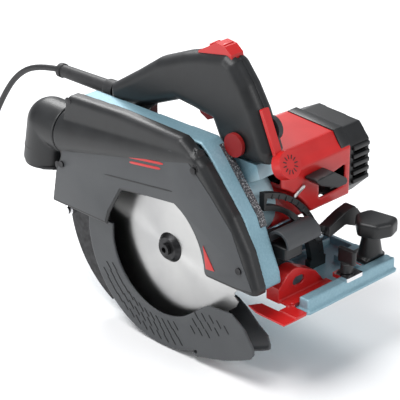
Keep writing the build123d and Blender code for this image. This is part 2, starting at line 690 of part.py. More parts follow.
# ---- Handle: two shells with the switch, its trigger and lock-off button, the lever and the dial ----
HANDLE = [(-133, 171), (-135, 195), (-92, 224), (-53, 252), (-10, 271), (16, 280), (60, 289), (74, 283),
          (94, 260), (112, 232), (133, 186), (128, 170), (112, 166.5), (62, 166.5), (50, 183), (40,
                                                                                                202), (7,
                                                                                                       206),
          (-18, 208), (-72, 184), (-116, 171)]
HANDLE_INSIDE = [(-129, 175), (-131, 193), (-90, 220), (-51, 248), (-9, 267), (17, 276), (59, 284), (71, 280),
                 (90, 258), (108.5, 230), (129, 186), (126, 174), (112, 170), (64, 170), (54, 184), (43,
                                                                                                     205.5),
                 (7, 210), (-19, 212), (-73, 188), (-116, 175)]
LEG = [(-96, 150), (-62, 150), (-64, 186), (-96, 181)]


def handle_half(y_left, y_right, cavity_left, cavity_right):
    """One shell of the handle, hollow towards the mid-plane, with the trigger's and the button's openings."""
    slab(y_left, y_right, HANDLE)
    slab(cavity_left, cavity_right, HANDLE_INSIDE, mode=Mode.SUBTRACT)
    brick((8, 45.5), (34.5, 49.5), (195, 216), mode=Mode.SUBTRACT)
    brick((13.5, 68.5), (31.5, 52.5), (270, 300), mode=Mode.SUBTRACT)


SPINDLE_BUTTON = (86.0, 187.0)
with BuildPart() as handle_right:
    slab(HANDLE_Y, CASTING_Y[1] + 0.2, LEG)
    handle_half(HANDLE_Y, HANDLE_Y - HANDLE_HALF, HANDLE_Y + 1, HANDLE_Y - HANDLE_HALF + WALL)
    rod(SPINDLE_BUTTON, 4.2, 40, 20, mode=Mode.SUBTRACT)
keep(handle_right, "handle_right")

with BuildPart() as handle_left:
    handle_half(HANDLE_Y + HANDLE_HALF, HANDLE_Y + 0.2, HANDLE_Y + HANDLE_HALF - WALL, HANDLE_Y - 0.8)
    brick((90, 140), (49.5, 58.5), (188, 224), mode=Mode.SUBTRACT)
keep(handle_left, "handle_left")

with BuildPart() as switch_box:
    brick((2, 36), (33, 51), (228, 258))
keep(switch_box, "switch_box")

with BuildPart() as control_board:
    brick((64, 98), (28, 31), (206, 238))
keep(control_board, "control_board")

TRIGGER_PIVOT = (41.0, 213.0)
with BuildPart() as trigger:
    slab(49, 35, [(10, 221), (44.5, 217), (43.5, 209), (36, 200), (27, 195.5), (15, 201), (9.5, 211)])
    rod(TRIGGER_PIVOT, 2 + RUN, 50, 34, mode=Mode.SUBTRACT)
keep(trigger, "trigger")

with BuildPart() as trigger_pin:
    rod(TRIGGER_PIVOT, 2, 56, 28)
keep(trigger_pin, "trigger_pin")

with BuildPart() as lockoff_button:
    slab(52, 32, [(14, 274), (68, 283), (67, 289), (57, 296.5), (42, 298), (30, 290), (14, 280.5)])
keep(lockoff_button, "lockoff_button")

with BuildPart() as spindle_button:
    rod(SPINDLE_BUTTON, 14.5, 22, 17)
    rod(SPINDLE_BUTTON, 4, 36, 21.5)
keep(spindle_button, "spindle_button")

FACE = Plane(origin=(122.5, CUT_Y + HANDLE_Y, 209), x_dir=(0, 1, 0), z_dir=(0.909, 0, 0.415))
with BuildPart() as select_lever:
    with BuildSketch(FACE.offset(0.7)) as sk:
        with Locations((-4, -3)):
            Rectangle(11, 62)
        fillet(sk.vertices(), 2)
    extrude(amount=5)
    with BuildSketch(FACE.offset(0.7)):
        with Locations((0, -42)):
            Circle(17)
    extrude(amount=14)
keep(select_lever, "select_lever")

DIAL = (112.0, 206.0)
with BuildPart() as speed_dial:
    rod(DIAL, 15, 57.5, 50.5, hole=2 + RUN)
keep(speed_dial, "speed_dial")

with BuildPart() as dial_pin:
    rod(DIAL, 2, 58.4, 44)
keep(dial_pin, "dial_pin")

# ---- Mains cord: strain relief, tube down to the floor, put-away coil and plug ----
EXIT = (-135.4, 41.0, 183.0)
RELIEF_LENGTH = 105.0
RELIEF = Plane(origin=(EXIT[0], CUT_Y + EXIT[1], EXIT[2]), x_dir=(0, 1, 0), z_dir=(-1, 0, -0.03))
with BuildPart() as strain_relief:
    with BuildSketch(RELIEF):
        Circle(11.5)
    extrude(amount=16)
    with BuildSketch(RELIEF.offset(16)):
        Circle(9)
    with BuildSketch(RELIEF.offset(RELIEF_LENGTH)):
        Circle(7.5)
    loft()
keep(strain_relief, "strain_relief")

relief_end = RELIEF.offset(RELIEF_LENGTH).origin
ROUTE = [(-283, 40, 174), (-325, 40, 149), (-358, 41, 105), (-385, 43, 56), (-411, 46, 8), (-437, 50, -38),
         (-468, 56, -75), (-512, 64, FLOOR_Z + CORD_R), (-556, 76, FLOOR_Z + CORD_R)]
points = [Vector(*relief_end)] + [Vector(x, CUT_Y + y, z) for x, y, z in ROUTE]
runs = [(b - a).length for a, b in zip(points, points[1:])]
turns = [(b - a).get_angle(c - b) for a, b, c in zip(points, points[1:], points[2:])]
bends = [0.45 * min(a, b) / tan(radians(turn) / 2) for a, b, turn in zip(runs, runs[1:], turns)]
cord_length = sum(runs) - sum(r * (2 * tan(radians(t) / 2) - radians(t)) for r, t in zip(bends, turns))
print("cord bend radii", [round(r) for r in bends], "tube length", round(cord_length))
with BuildPart() as mains_cord:
    with BuildLine() as path:
        FilletPolyline(*points, radius=bends)
    with BuildSketch(Plane(origin=points[0], z_dir=points[1] - points[0])):
        Circle(CORD_R)
    sweep()
print("cord volume against section times length",
      round(mains_cord.part.volume / (pi * CORD_R**2 * cord_length), 4))
keep(mains_cord, "mains_cord")

COIL = (-575.0, 128.0)
COIL_R = 43.0
COIL_LAYERS, COIL_ROWS = 4, 3
with BuildPart() as cord_coil:
    with BuildSketch(level(FLOOR_Z)):
        with Locations(COIL):
            Circle(COIL_R + CORD_R * COIL_ROWS)
            Circle(COIL_R - CORD_R * COIL_ROWS, mode=Mode.SUBTRACT)
    extrude(amount=2 * CORD_R * COIL_LAYERS)
keep(cord_coil, "cord_coil")

COIL_TOP = FLOOR_Z + 2 * CORD_R * COIL_LAYERS
with BuildPart() as cord_tie:
    brick((COIL[0] - 4, COIL[0] + 4), (COIL[1] - 59, COIL[1] - 27), (COIL_TOP, COIL_TOP + 1.6))
keep(cord_tie, "cord_tie")

PLUG_X = COIL[0] - 37.0
PLUG_Z = FLOOR_Z + 19.0
PLUG_TAIL_Y = 45.0  # the cord enters here, and the pins point to the right
PIN_SPACING = 19.0
with BuildPart() as plug:
    with BuildSketch(side(PLUG_TAIL_Y)):
        with Locations((PLUG_X, PLUG_Z)):
            Circle(6)
    with BuildSketch(side(PLUG_TAIL_Y - 34)):
        with Locations((PLUG_X, PLUG_Z)):
            Circle(14)
    loft()
    rod((PLUG_X, PLUG_Z), 18.8, PLUG_TAIL_Y - 34, PLUG_TAIL_Y - 60)
keep(plug, "plug")

with BuildPart() as plug_pins:
    for across_x in (-PIN_SPACING / 2, PIN_SPACING / 2):
        rod((PLUG_X + across_x, PLUG_Z), 2.4, PLUG_TAIL_Y - 60, PLUG_TAIL_Y - 79)
keep(plug_pins, "plug_pins")
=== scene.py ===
import json
import math

import bmesh
import bpy
import numpy as np
from mathutils import Matrix, Vector
from mathutils.bvhtree import BVHTree


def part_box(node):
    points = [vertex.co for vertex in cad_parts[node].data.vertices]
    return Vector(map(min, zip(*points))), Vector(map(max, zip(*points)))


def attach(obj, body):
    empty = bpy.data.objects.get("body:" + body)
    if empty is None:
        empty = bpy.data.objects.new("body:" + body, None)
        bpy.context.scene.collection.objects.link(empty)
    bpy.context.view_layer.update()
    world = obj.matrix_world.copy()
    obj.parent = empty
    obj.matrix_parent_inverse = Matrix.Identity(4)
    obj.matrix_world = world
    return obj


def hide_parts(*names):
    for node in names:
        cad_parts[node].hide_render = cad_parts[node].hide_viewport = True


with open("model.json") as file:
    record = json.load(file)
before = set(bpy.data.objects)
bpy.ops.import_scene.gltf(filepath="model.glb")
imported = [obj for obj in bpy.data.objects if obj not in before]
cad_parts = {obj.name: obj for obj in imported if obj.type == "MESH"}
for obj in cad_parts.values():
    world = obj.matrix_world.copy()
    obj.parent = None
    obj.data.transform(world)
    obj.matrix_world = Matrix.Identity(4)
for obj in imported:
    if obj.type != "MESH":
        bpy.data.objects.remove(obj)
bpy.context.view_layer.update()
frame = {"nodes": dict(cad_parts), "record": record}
nodes = frame["nodes"]

MM = 0.001
CUT_Y = -100.0  # the blade's mid-plane; outlines below give y from this plane, in millimetres
ARBOR_Z = 30.5
FLOOR_Z = -97.5
CORD_R = 3.9
FLOOR_REACH = 9.0  # metres from the middle to each edge
SAW_MIDDLE = (0, -0.03, 0.08)
ROUND_STEPS = 48  # points round a turned piece
COLLAR_STEPS = 72
FINE_BUMP = 0.0002


# ---- Camera, floor and light ----
def aim_camera():
    """Long lens from the front right, a little above the saw."""
    azimuth, elevation, roll = math.radians(44.766), math.radians(25.845), math.radians(0.199)
    right = Vector((math.cos(azimuth), math.sin(azimuth), 0))
    back = Vector((math.sin(azimuth) * math.cos(elevation), -math.cos(azimuth) * math.cos(elevation),
                   math.sin(elevation)))
    up = back.cross(right)
    rolled_right = math.cos(roll) * right + math.sin(roll) * up
    rolled_up = math.cos(roll) * up - math.sin(roll) * right
    camera = bpy.data.objects.new("camera", bpy.data.cameras.new("camera"))
    camera.data.lens = 187.76
    camera.data.sensor_width = 36.0
    camera.data.clip_end = 50.0
    turn = Matrix((rolled_right, rolled_up, back)).transposed().to_4x4()
    camera.matrix_world = Matrix.Translation((1.60422, -1.66753, 1.17989)) @ turn
    bpy.context.scene.collection.objects.link(camera)
    bpy.context.scene.camera = camera


def area_light(name, place, size, power, colour=(1, 1, 1)):
    """Soft box aimed at the saw's middle."""
    light = bpy.data.objects.new(name, bpy.data.lights.new(name, "AREA"))
    light.data.shape = "RECTANGLE"
    light.data.size, light.data.size_y = size
    light.data.energy = power
    light.data.color = colour
    light.location = place
    light.rotation_euler = (Vector(SAW_MIDDLE) - Vector(place)).to_track_quat("-Z", "Y").to_euler()
    bpy.context.scene.collection.objects.link(light)


def build_stage():
    """Pale floor, white surroundings and soft boxes."""
    world = bpy.data.worlds.new("studio")
    world.use_nodes = True
    world.node_tree.nodes["Background"].inputs["Color"].default_value = (0.93, 0.95, 1.0, 1)
    world.node_tree.nodes["Background"].inputs["Strength"].default_value = 0.42
    bpy.context.scene.world = world
    bpy.context.scene.view_settings.view_transform = "Standard"
    mesh = bpy.data.meshes.new("floor")
    corners = [(-FLOOR_REACH, -FLOOR_REACH), (FLOOR_REACH, -FLOOR_REACH), (FLOOR_REACH, FLOOR_REACH),
               (-FLOOR_REACH, FLOOR_REACH)]
    mesh.from_pydata([(x, y, FLOOR_Z * MM) for x, y in corners], [], [(0, 1, 2, 3)])
    floor = bpy.data.objects.new("floor", mesh)
    material = bpy.data.materials.new("floor")
    material.use_nodes = True
    shader = material.node_tree.nodes["Principled BSDF"]
    shader.inputs["Base Color"].default_value = (0.93, 0.93, 0.93, 1)
    shader.inputs["Roughness"].default_value = 0.9
    mesh.materials.append(material)
    bpy.context.scene.collection.objects.link(floor)
    area_light("key", (-0.3, -1.0, 2.3), (1.5, 1.2), 50)
    area_light("rim", (-1.6, 0.9, 1.5), (1.0, 0.6), 30)
    area_light("fill", (2.0, 0.5, 1.0), (0.7, 1.2), 13)
    area_light("strip", (-0.9, -1.9, 0.7), (0.25, 1.1), 9)


# ---- Materials ----
def finish(name, dark, light, scale, rough, grain=0.0, grain_scale=1600.0, metal=0.0, coat=0.0, painted_edge_highlight=None):
    """Procedural surface: mottled colour, uneven gloss, a fine bump and, if asked, paler edges as a painted
    highlight.
    """
    material = bpy.data.materials.new(name)
    material.use_nodes = True
    tree = material.node_tree
    shader = tree.nodes["Principled BSDF"]
    place = tree.nodes.new("ShaderNodeTexCoord")
    mottle = tree.nodes.new("ShaderNodeTexNoise")
    mottle.inputs["Scale"].default_value = scale
    mottle.inputs["Detail"].default_value = 5.0
    tree.links.new(place.outputs["Object"], mottle.inputs["Vector"])
    colour = tree.nodes.new("ShaderNodeValToRGB")
    colour.color_ramp.elements[0].position = 0.35
    colour.color_ramp.elements[1].position = 0.65
    colour.color_ramp.elements[0].color = (*dark, 1)
    colour.color_ramp.elements[1].color = (*light, 1)
    tree.links.new(mottle.outputs["Fac"], colour.inputs["Fac"])
    surface = colour.outputs["Color"]
    # paler colour on sharp edges, found by pointiness, is a painted highlight
    if painted_edge_highlight:
        edge = tree.nodes.new("ShaderNodeNewGeometry")
        band = tree.nodes.new("ShaderNodeValToRGB")
        band.color_ramp.elements[0].position = 0.53
        band.color_ramp.elements[1].position = 0.62
        tree.links.new(edge.outputs["Pointiness"], band.inputs["Fac"])
        edge_highlight_mix = tree.nodes.new("ShaderNodeMixRGB")
        edge_highlight_mix.inputs["Color2"].default_value = (*painted_edge_highlight, 1)
        tree.links.new(band.outputs["Color"], edge_highlight_mix.inputs["Fac"])
        tree.links.new(surface, edge_highlight_mix.inputs["Color1"])
        surface = edge_highlight_mix.outputs["Color"]
    tree.links.new(surface, shader.inputs["Base Color"])
    gloss = tree.nodes.new("ShaderNodeMapRange")
    gloss.inputs["To Min"].default_value, gloss.inputs["To Max"].default_value = rough
    tree.links.new(mottle.outputs["Fac"], gloss.inputs["Value"])
    tree.links.new(gloss.outputs["Result"], shader.inputs["Roughness"])
    if grain:
        fine = tree.nodes.new("ShaderNodeTexNoise")
        fine.inputs["Scale"].default_value = grain_scale
        bump = tree.nodes.new("ShaderNodeBump")
        bump.inputs["Strength"].default_value = grain
        bump.inputs["Distance"].default_value = FINE_BUMP
        tree.links.new(place.outputs["Object"], fine.inputs["Vector"])
        tree.links.new(fine.outputs["Fac"], bump.inputs["Height"])
        tree.links.new(bump.outputs["Normal"], shader.inputs["Normal"])
    shader.inputs["Metallic"].default_value = metal
    shader.inputs["Coat Weight"].default_value = coat
    return material


def brushed_disc():
    """Saw-plate steel, ground in rings about the arbor."""
    material = finish("blade_steel", (0.44, 0.44, 0.44), (0.56, 0.56, 0.55), 9, (0.26, 0.36), metal=1.0)
    tree = material.node_tree
    shader = tree.nodes["Principled BSDF"]
    shader.inputs["Anisotropic"].default_value = 0.85
    tangent = tree.nodes.new("ShaderNodeTangent")
    tangent.direction_type = "RADIAL"
    tangent.axis = "Y"
    tree.links.new(tangent.outputs["Tangent"], shader.inputs["Tangent"])
    return material


def speckled_scale():
    """Dark, coarsely speckled metal strip of the depth scale."""
    material = finish("scale_speckle", (0.03, 0.03, 0.035), (0.45, 0.45, 0.46), 620, (0.35, 0.6), 0.5, 900)
    ramp = next(n for n in material.node_tree.nodes if n.type == "VALTORGB")
    ramp.color_ramp.elements[0].position = 0.5
    ramp.color_ramp.elements[1].position = 0.72
    return material


GREY = finish("cover_grey", (0.047, 0.050, 0.054), (0.055, 0.059, 0.063), 30, (0.42, 0.52), 0.25)
BLACK = finish("moulded_black", (0.007, 0.0075, 0.008), (0.011, 0.012, 0.013), 45, (0.36, 0.46), 0.3)
SOFT = finish("soft_grip", (0.020, 0.021, 0.023), (0.029, 0.030, 0.032), 60, (0.55, 0.7), 0.7, 2400)
RED = finish("moulded_red", (0.50, 0.011, 0.011), (0.57, 0.016, 0.015), 25, (0.30, 0.42), 0.15, coat=0.15)
# darker copy of the red plastic: painted shade
RED_PAINTED_SHADE = finish("red_painted_shade", (0.22, 0.006, 0.006), (0.27, 0.009, 0.008), 25, (0.32, 0.44), 0.15)
# blue casting paint; its paler edges are a painted highlight
BLUE = finish("cast_blue", (0.205, 0.355, 0.425), (0.245, 0.405, 0.475), 420, (0.36, 0.50), 0.6, 1100,
              metal=0.3, painted_edge_highlight=(0.42, 0.58, 0.64))
STEEL = finish("bright_steel", (0.50, 0.50, 0.50), (0.64, 0.64, 0.63), 90, (0.22, 0.36), 0.1, metal=1.0)
DARK = finish("blackened_steel", (0.020, 0.020, 0.021), (0.045, 0.045, 0.047), 120, (0.28, 0.42), 0.2,
              metal=0.7)
CHROME = finish("chrome", (0.70, 0.70, 0.71), (0.82, 0.82, 0.83), 40, (0.06, 0.14), metal=1.0)
RUBBER = finish("cord_rubber", (0.013, 0.013, 0.014), (0.020, 0.020, 0.021), 150, (0.45, 0.58), 0.3, 2200)
BRASS = finish("brass", (0.55, 0.40, 0.16), (0.68, 0.52, 0.25), 80, (0.25, 0.4), 0.1, metal=1.0)
COPPER = finish("copper", (0.55, 0.26, 0.13), (0.68, 0.36, 0.20), 80, (0.25, 0.4), 0.1, metal=1.0)
BOARD = finish("board", (0.02, 0.12, 0.05), (0.04, 0.20, 0.09), 300, (0.2, 0.35), 0.1)
BLADE = brushed_disc()
SPECKLE = speckled_scale()
SLOTS = {"alloy_blue": BLUE, "black_plastic": BLACK, "grey_plastic": GREY, "red_plastic": RED,
         "soft_grip": SOFT, "steel": STEEL, "chrome": CHROME, "dark_steel": DARK, "copper": COPPER,
         "cord_rubber": RUBBER, "board": BOARD, "brass": BRASS}
SLOT_OF = {part["node"]: part["material_slot"] for part in frame["record"]["subparts"]}
BODY_OF = {node: body for body, members in frame["record"]["behaviour"]["bodies"].items() for node in members}


def coat_node(name, material):
    """Give a CAD node its procedural material."""
    mesh = nodes[name].data
    mesh.materials.clear()
    mesh.materials.append(material)


for node, slot_name in SLOT_OF.items():
    coat_node(node, SLOTS[slot_name])
coat_node("saw_blade", BLADE)
coat_node("scale_strip", SPECKLE)
# trigger and spindle button take the darker red copy as painted shade
coat_node("spindle_button", RED_PAINTED_SHADE)
coat_node("trigger", RED_PAINTED_SHADE)


# ---- Building blocks ----
def shown(mesh, name, body, material, sharp=38):
    """Put a finished mesh in the scene, riding on its body."""
    mesh.materials.clear()
    mesh.materials.append(material)
    mesh.polygons.foreach_set("use_smooth", [True] * len(mesh.polygons))
    mesh.set_sharp_from_angle(angle=math.radians(sharp))
    piece = bpy.data.objects.new(name, mesh)
    bpy.context.scene.collection.objects.link(piece)
    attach(piece, body)
    return piece


def baked(piece):
    """The piece's mesh with its modifiers applied."""
    graph = bpy.context.evaluated_depsgraph_get()
    return bpy.data.meshes.new_from_object(piece.evaluated_get(graph))


def edge_distance(x, z, outline):
    """Distance in the x, z plane from points to an open outline, in metres."""
    best = np.full(len(x), 1e9)
    for (ax, az), (bx, bz) in zip(outline, outline[1:]):
        ax, az, bx, bz = (value * MM for value in (ax, az, bx, bz))
        dx, dz = bx - ax, bz - az
        share = np.clip(((x - ax) * dx + (z - az) * dz) / (dx * dx + dz * dz), 0, 1)
        best = np.minimum(best, np.hypot(x - ax - share * dx, z - az - share * dz))
    return best


def crown(mesh, outline, middle_y, half, radius, right_only=False):
    """Round the long edges of a flat-sided piece: y closes in on the middle near the outline."""
    points = np.zeros(len(mesh.vertices) * 3)
    mesh.vertices.foreach_get("co", points)
    points = points.reshape(-1, 3)
    near = np.clip(edge_distance(points[:, 0], points[:, 2], outline) / (radius * MM), 0, 1)
    reach = (half - radius + radius * np.sqrt(1 - (1 - near) ** 2)) / half
    middle = (middle_y + CUT_Y) * MM
    offset = points[:, 1] - middle
    if right_only:
        reach = np.where(offset < 0, reach, 1.0)
    points[:, 1] = middle + offset * reach
    mesh.vertices.foreach_set("co", points.ravel())
    mesh.update()


def moulded(name, sources, voxel, rounds, material, outline=None, middle_y=0.0, half=1.0, radius=1.0,
            right_only=False, keep=0.4):
    """Stand-in for CAD nodes with moulded, rounded edges: one skin, smoothed, its flat sides crowned."""
    solid = bmesh.new()
    for source in sources:
        solid.from_mesh(nodes[source].data)
    bmesh.ops.remove_doubles(solid, verts=solid.verts, dist=1e-6)
    rough = bpy.data.meshes.new(name)
    solid.to_mesh(rough)
    solid.free()
    work = bpy.data.objects.new(name + "_work", rough)
    bpy.context.scene.collection.objects.link(work)
    skin = work.modifiers.new("skin", "REMESH")
    skin.mode = "VOXEL"
    skin.voxel_size = voxel * MM
    mesh = baked(work)
    if outline:
        crown(mesh, outline, middle_y, half, radius, right_only)
    work.modifiers.clear()
    work.data = mesh
    soften = work.modifiers.new("soften", "SMOOTH")
    soften.iterations = rounds
    thin = work.modifiers.new("thin", "DECIMATE")
    thin.ratio = keep
    final = baked(work)
    bpy.data.objects.remove(work)
    piece = shown(final, name, BODY_OF[sources[0]], material, 60)
    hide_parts(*sources)
    return piece


def side(y):
    """Sketch plane facing right: x, z, and depth towards the operator's right."""
    return Matrix(((1, 0, 0, 0), (0, 0, -1, CUT_Y + y), (0, 1, 0, 0), (0, 0, 0, 1)))


def across(x):
    """Sketch plane facing forward: y from the cut, z, and depth forward."""
    return Matrix(((0, 0, 1, x), (1, 0, 0, CUT_Y), (0, 1, 0, 0), (0, 0, 0, 1)))


def level(z):
    """Sketch plane facing up: x, y from the cut, and depth upward."""
    return Matrix(((1, 0, 0, 0), (0, 1, 0, CUT_Y), (0, 0, 1, z), (0, 0, 0, 1)))


def add_prism(solid, plane, outline, depth, bevel=0.0):
    """Extruded outline with small rounded edges, added to a bmesh in millimetres."""
    local = bmesh.new()
    face = local.faces.new([local.verts.new((u, v, 0)) for u, v in outline])
    grown = bmesh.ops.extrude_face_region(local, geom=[face])
    moved = [g for g in grown["geom"] if isinstance(g, bmesh.types.BMVert)]
    bmesh.ops.translate(local, verts=moved, vec=(0, 0, depth))
    bmesh.ops.recalc_face_normals(local, faces=local.faces)
    if bevel:
        bmesh.ops.bevel(local, geom=local.edges[:], offset=bevel, segments=2, profile=0.5, affect="EDGES",
                        clamp_overlap=True)
    bmesh.ops.transform(local, matrix=plane, verts=local.verts)
    part = bpy.data.meshes.new("part")
    local.to_mesh(part)
    local.free()
    solid.from_mesh(part)
    bpy.data.meshes.remove(part)


def piece_of(solid, name, body, material):
    """Finish a bmesh drawn in millimetres as a shown piece."""
    bmesh.ops.scale(solid, vec=(MM, MM, MM), verts=solid.verts)
    bmesh.ops.recalc_face_normals(solid, faces=solid.faces)
    mesh = bpy.data.meshes.new(name)
    solid.to_mesh(mesh)
    solid.free()
    return shown(mesh, name, body, material)


def prisms(name, body, material, items):
    """One piece made of several extruded outlines: (plane, outline, depth, bevel)."""
    solid = bmesh.new()
    for plane, outline, depth, bevel in items:
        add_prism(solid, plane, outline, depth, bevel)
    return piece_of(solid, name, body, material)


def lozenge(u, v, length, width, angle):
    """Slim outline with pointed-round ends, centred on (u, v)."""
    shape = [(-0.5, -0.2), (-0.42, -0.5), (0.42, -0.5), (0.5, -0.2), (0.5, 0.2), (0.42, 0.5), (-0.42, 0.5),
             (-0.5, 0.2)]
    c, s = math.cos(math.radians(angle)), math.sin(math.radians(angle))
    return [(u + a * length * c - b * width * s, v + a * length * s + b * width * c) for a, b in shape]


def ring(u, v, r, count=40):
    """Round outline."""
    return [(u + r * math.cos(math.tau * k / count), v + r * math.sin(math.tau * k / count))
            for k in range(count)]


def polar(r, angle):
    """Point about the arbor, at an angle in degrees."""
    return r * math.cos(math.radians(angle)), ARBOR_Z + r * math.sin(math.radians(angle))


def round_row(solid, r, up, steps, middle=(0, 0)):
    """Circle of vertices about a vertical axis."""
    x, y = middle
    angles = [math.tau * k / steps for k in range(steps)]
    return [solid.verts.new((x + r * math.cos(angle), y + r * math.sin(angle), up)) for angle in angles]


def join_rows(solid, low, high):
    """Band of faces between two circles of vertices."""
    for k in range(len(low)):
        after = (k + 1) % len(low)
        solid.faces.new((low[k], low[after], high[after], high[k]))


def turned(name, sources, origin, direction, profile, material):
    """Round piece about an axis: the profile is a row of (distance along, radius)."""
    solid = bmesh.new()
    axis = Vector(direction).normalized()
    turn = axis.to_track_quat("Z", "Y").to_matrix().to_4x4()
    rows = [round_row(solid, r, along, ROUND_STEPS) for along, r in profile]
    for low, high in zip(rows, rows[1:]):
        join_rows(solid, low, high)
    solid.faces.new(rows[0][::-1])
    solid.faces.new(rows[-1])
    bmesh.ops.transform(solid, matrix=Matrix.Translation(origin) @ turn, verts=solid.verts)
    piece = piece_of(solid, name, BODY_OF[sources[0]], material)
    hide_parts(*sources)
    return piece


# ---- Mains cord: NURBS line from the strain relief to the floor, round the coil, into the plug ----
EXIT = Vector((-135.4, CUT_Y + 41.0, 183.0))
RELIEF_AXIS = Vector((-1, 0, -0.03)).normalized()
RELIEF_LENGTH = 105.0
ROUTE = [(-283, 40, 174), (-325, 40, 149), (-358, 41, 105), (-385, 43, 56), (-411, 46, 8), (-437, 50, -38),
         (-468, 56, -75), (-512, 64, -93.6), (-556, 76, -93.6)]
COIL = (-575.0, 128.0)
COIL_R, COIL_LAYERS, COIL_ROWS = 43.0, 4, 3
PLUG = (-612.0, 45.0, -78.5)  # x, y from the cut and z of the plug's tail
TURN_POINTS = 16
LAYER_STEP = 0.5  # share of a turn over which the cord climbs to the next layer


def coil_points():
    """Clockwise turns, row by row in each layer, climbing a diameter from layer to layer."""
    points = []
    widen = 1 / math.cos(math.pi / TURN_POINTS) ** 0.5  # the spline cuts inside its control points
    steps = COIL_LAYERS * COIL_ROWS * TURN_POINTS
    for k in range(steps):
        turn = k / TURN_POINTS
        layer = min(int(turn / COIL_ROWS), COIL_LAYERS - 1)
        row = turn - layer * COIL_ROWS
        inward = row if layer % 2 == 0 else COIL_ROWS - row
        blend_up = max(0.0, (row - (COIL_ROWS - LAYER_STEP)) / LAYER_STEP) if layer < COIL_LAYERS - 1 else 0.0
        r = (COIL_R + CORD_R * 2 * (COIL_ROWS / 2 - inward)) * widen
        r = min(max(r, COIL_R - CORD_R * (COIL_ROWS - 1)), COIL_R + CORD_R * (COIL_ROWS - 1) + 1.0)
        z = FLOOR_Z + CORD_R * (1 + 2 * (layer + blend_up))
        angle = math.radians(-90) - math.tau * turn
        points.append((COIL[0] + r * math.cos(angle), COIL[1] + r * math.sin(angle), z))
    return points


def lay_cord():
    """The free cord, laid from the strain relief into its plug."""
    start = EXIT + RELIEF_AXIS * RELIEF_LENGTH
    x, y, z = PLUG
    tail = [(-575, 78, -71), (-589, 77.5, -73), (-604, 67.5, -76), (x + 0.5, 53, z), (x, y - 2, z)]
    points = [tuple(start)] + [(a, CUT_Y + b, c) for a, b, c in ROUTE + coil_points() + tail]
    curve = bpy.data.curves.new("mains_lead", "CURVE")
    curve.dimensions = "3D"
    line = curve.splines.new("NURBS")
    line.points.add(len(points) - 1)
    for place, point in zip(line.points, points):
        place.co = (*(value * MM for value in point), 1)
    line.order_u = 3
    line.use_endpoint_u = True
    line.resolution_u = 6
    curve.bevel_depth = CORD_R * MM
    curve.bevel_resolution = 5
    curve.use_fill_caps = True
    curve.materials.append(RUBBER)
    lead = bpy.data.objects.new("mains_lead", curve)
    bpy.context.scene.collection.objects.link(lead)
    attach(lead, "saw_unit")
    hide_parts("mains_cord", "cord_coil")


# ---- Upper guard ----
COVER = [(-152, 190), (-62, 195), (41, 194), (78, 171), (124, 121), (149, 84), (166, 41), (165, 33.6)]
FACE = [(-180.5, 43), (-172.5, 87), (-164.5, 104), (-162.5, 122), (-95, 146), (27.6, 176), (55, 171.5),
        (93, 139), (127, 105), (151, 58.5), (161, 40), (137, 36.5), (92, 35.5)]


def dress_guard():
    """Cover, casting and what is fixed to the cover's face."""
    moulded("cover_shell", ["guard_cover"], 1.5, 5, BLACK, COVER, -8.0, 19.0, 8.0, right_only=True)
    moulded("casting_shell", ["guard_housing"], 1.7, 3, BLUE)
    window = [polar(86, angle) for angle in range(3, 68, 8)] + [(-60, 98), (-82, 60), (-87, 44)]
    prisms("cover_panel", "saw_unit", GREY,
           [(side(-26.6), FACE + window, 1.0, 0.35)])
    prisms("cover_pointer", "saw_unit", RED,
           [(side(-27.5), [(82, 72), (101, 45), (87, 43)], 0.7, 0.2)])
    # black strip along the groove on the grey face is painted shade
    prisms("cover_groove_painted_shade", "saw_unit", BLACK,
           [(side(-27.4), lozenge(-28, 116, 118, 1.6, 8), 0.5, 0.1)])
    bars = [(side(-27.5), lozenge(-15, 150 - 7 * k, 62 - 9 * k, 3.2, 9), 0.5, 0.15) for k in range(2)]
    prisms("cover_stripes", "saw_unit", RED, bars)
    # dark discs: blackened steel screw heads, with painted shade filling the recess round each
    screws = []
    for place in ((-150, 184), (67, 165), (-172, 92)):
        screws.append((side(-26.5), ring(*place, 5.2, 24), 0.9, 0.3))
    prisms("screws_and_recess_shade", "saw_unit", DARK, screws)


# ---- Swinging guard with its slanted grip ribs, black as painted shade ----
def dress_lower_guard():
    """Rounded guard, with rows of slanted ribs on its outer wall, coloured black as painted shade."""
    moulded("swing_guard", ["lower_guard"], 1.3, 4, GREY)
    ribs = []
    for r, first in ((95, -148), (105, -150), (115, -147)):
        for k in range(13):
            angle = first + 6.2 * k
            x, z = polar(r, angle)
            ribs.append((side(-18.3), lozenge(x, z, 13, 1.9, -48), 0.8, 0.35))
    for k in range(7):
        for row in range(3):
            x, z = 62 + 12.5 * k - 3 * row, -28 - 11 * row - 2.2 * abs(k - 2)
            if z > -60 + 0.4 * (x - 60):
                ribs.append((side(-18.3), lozenge(x, z, 12, 1.9, -48), 0.8, 0.35))
    # the ribs' black stands for the shade in the guard's slots: painted shade
    prisms("guard_ribs_painted_shade", "lower_guard", BLACK, ribs)


# ---- Handle ----
HANDLE = [(-133, 171), (-135, 195), (-92, 224), (-53, 252), (-10, 271), (16, 280), (60, 289), (74, 283),
          (94, 260), (112, 232), (133, 186), (128, 170), (112, 166.5), (62, 166.5), (50, 183), (40, 202),
          (7, 206), (-18, 208), (-72, 184), (-116, 171), (-133, 171)]


def dress_handle():
    """Both handle shells with a full, rounded section, the soft inlay and the red controls."""
    for name in ("handle_right", "handle_left"):
        moulded(name + "_shell", [name], 1.4, 5, BLACK, HANDLE, 42.0, 18.0, 14.0)
    top = [(-84, 214), (-53, 236), (-12, 254), (10, 262), (8, 244), (-30, 240), (-62, 222)]
    prisms("grip_inlay", "saw_unit", SOFT, [(side(25.4), top, 1.1, 0.5)])
    teeth = []
    for k in range(4):
        x = 30 + 7 * k
        teeth.append((level(289.5 + 1.5 * k), [(x, 34), (x + 3, 34), (x + 3, 50), (x, 50)], 3.9, 0.5))
    prisms("button_ridges", "lockoff_button", RED, teeth)


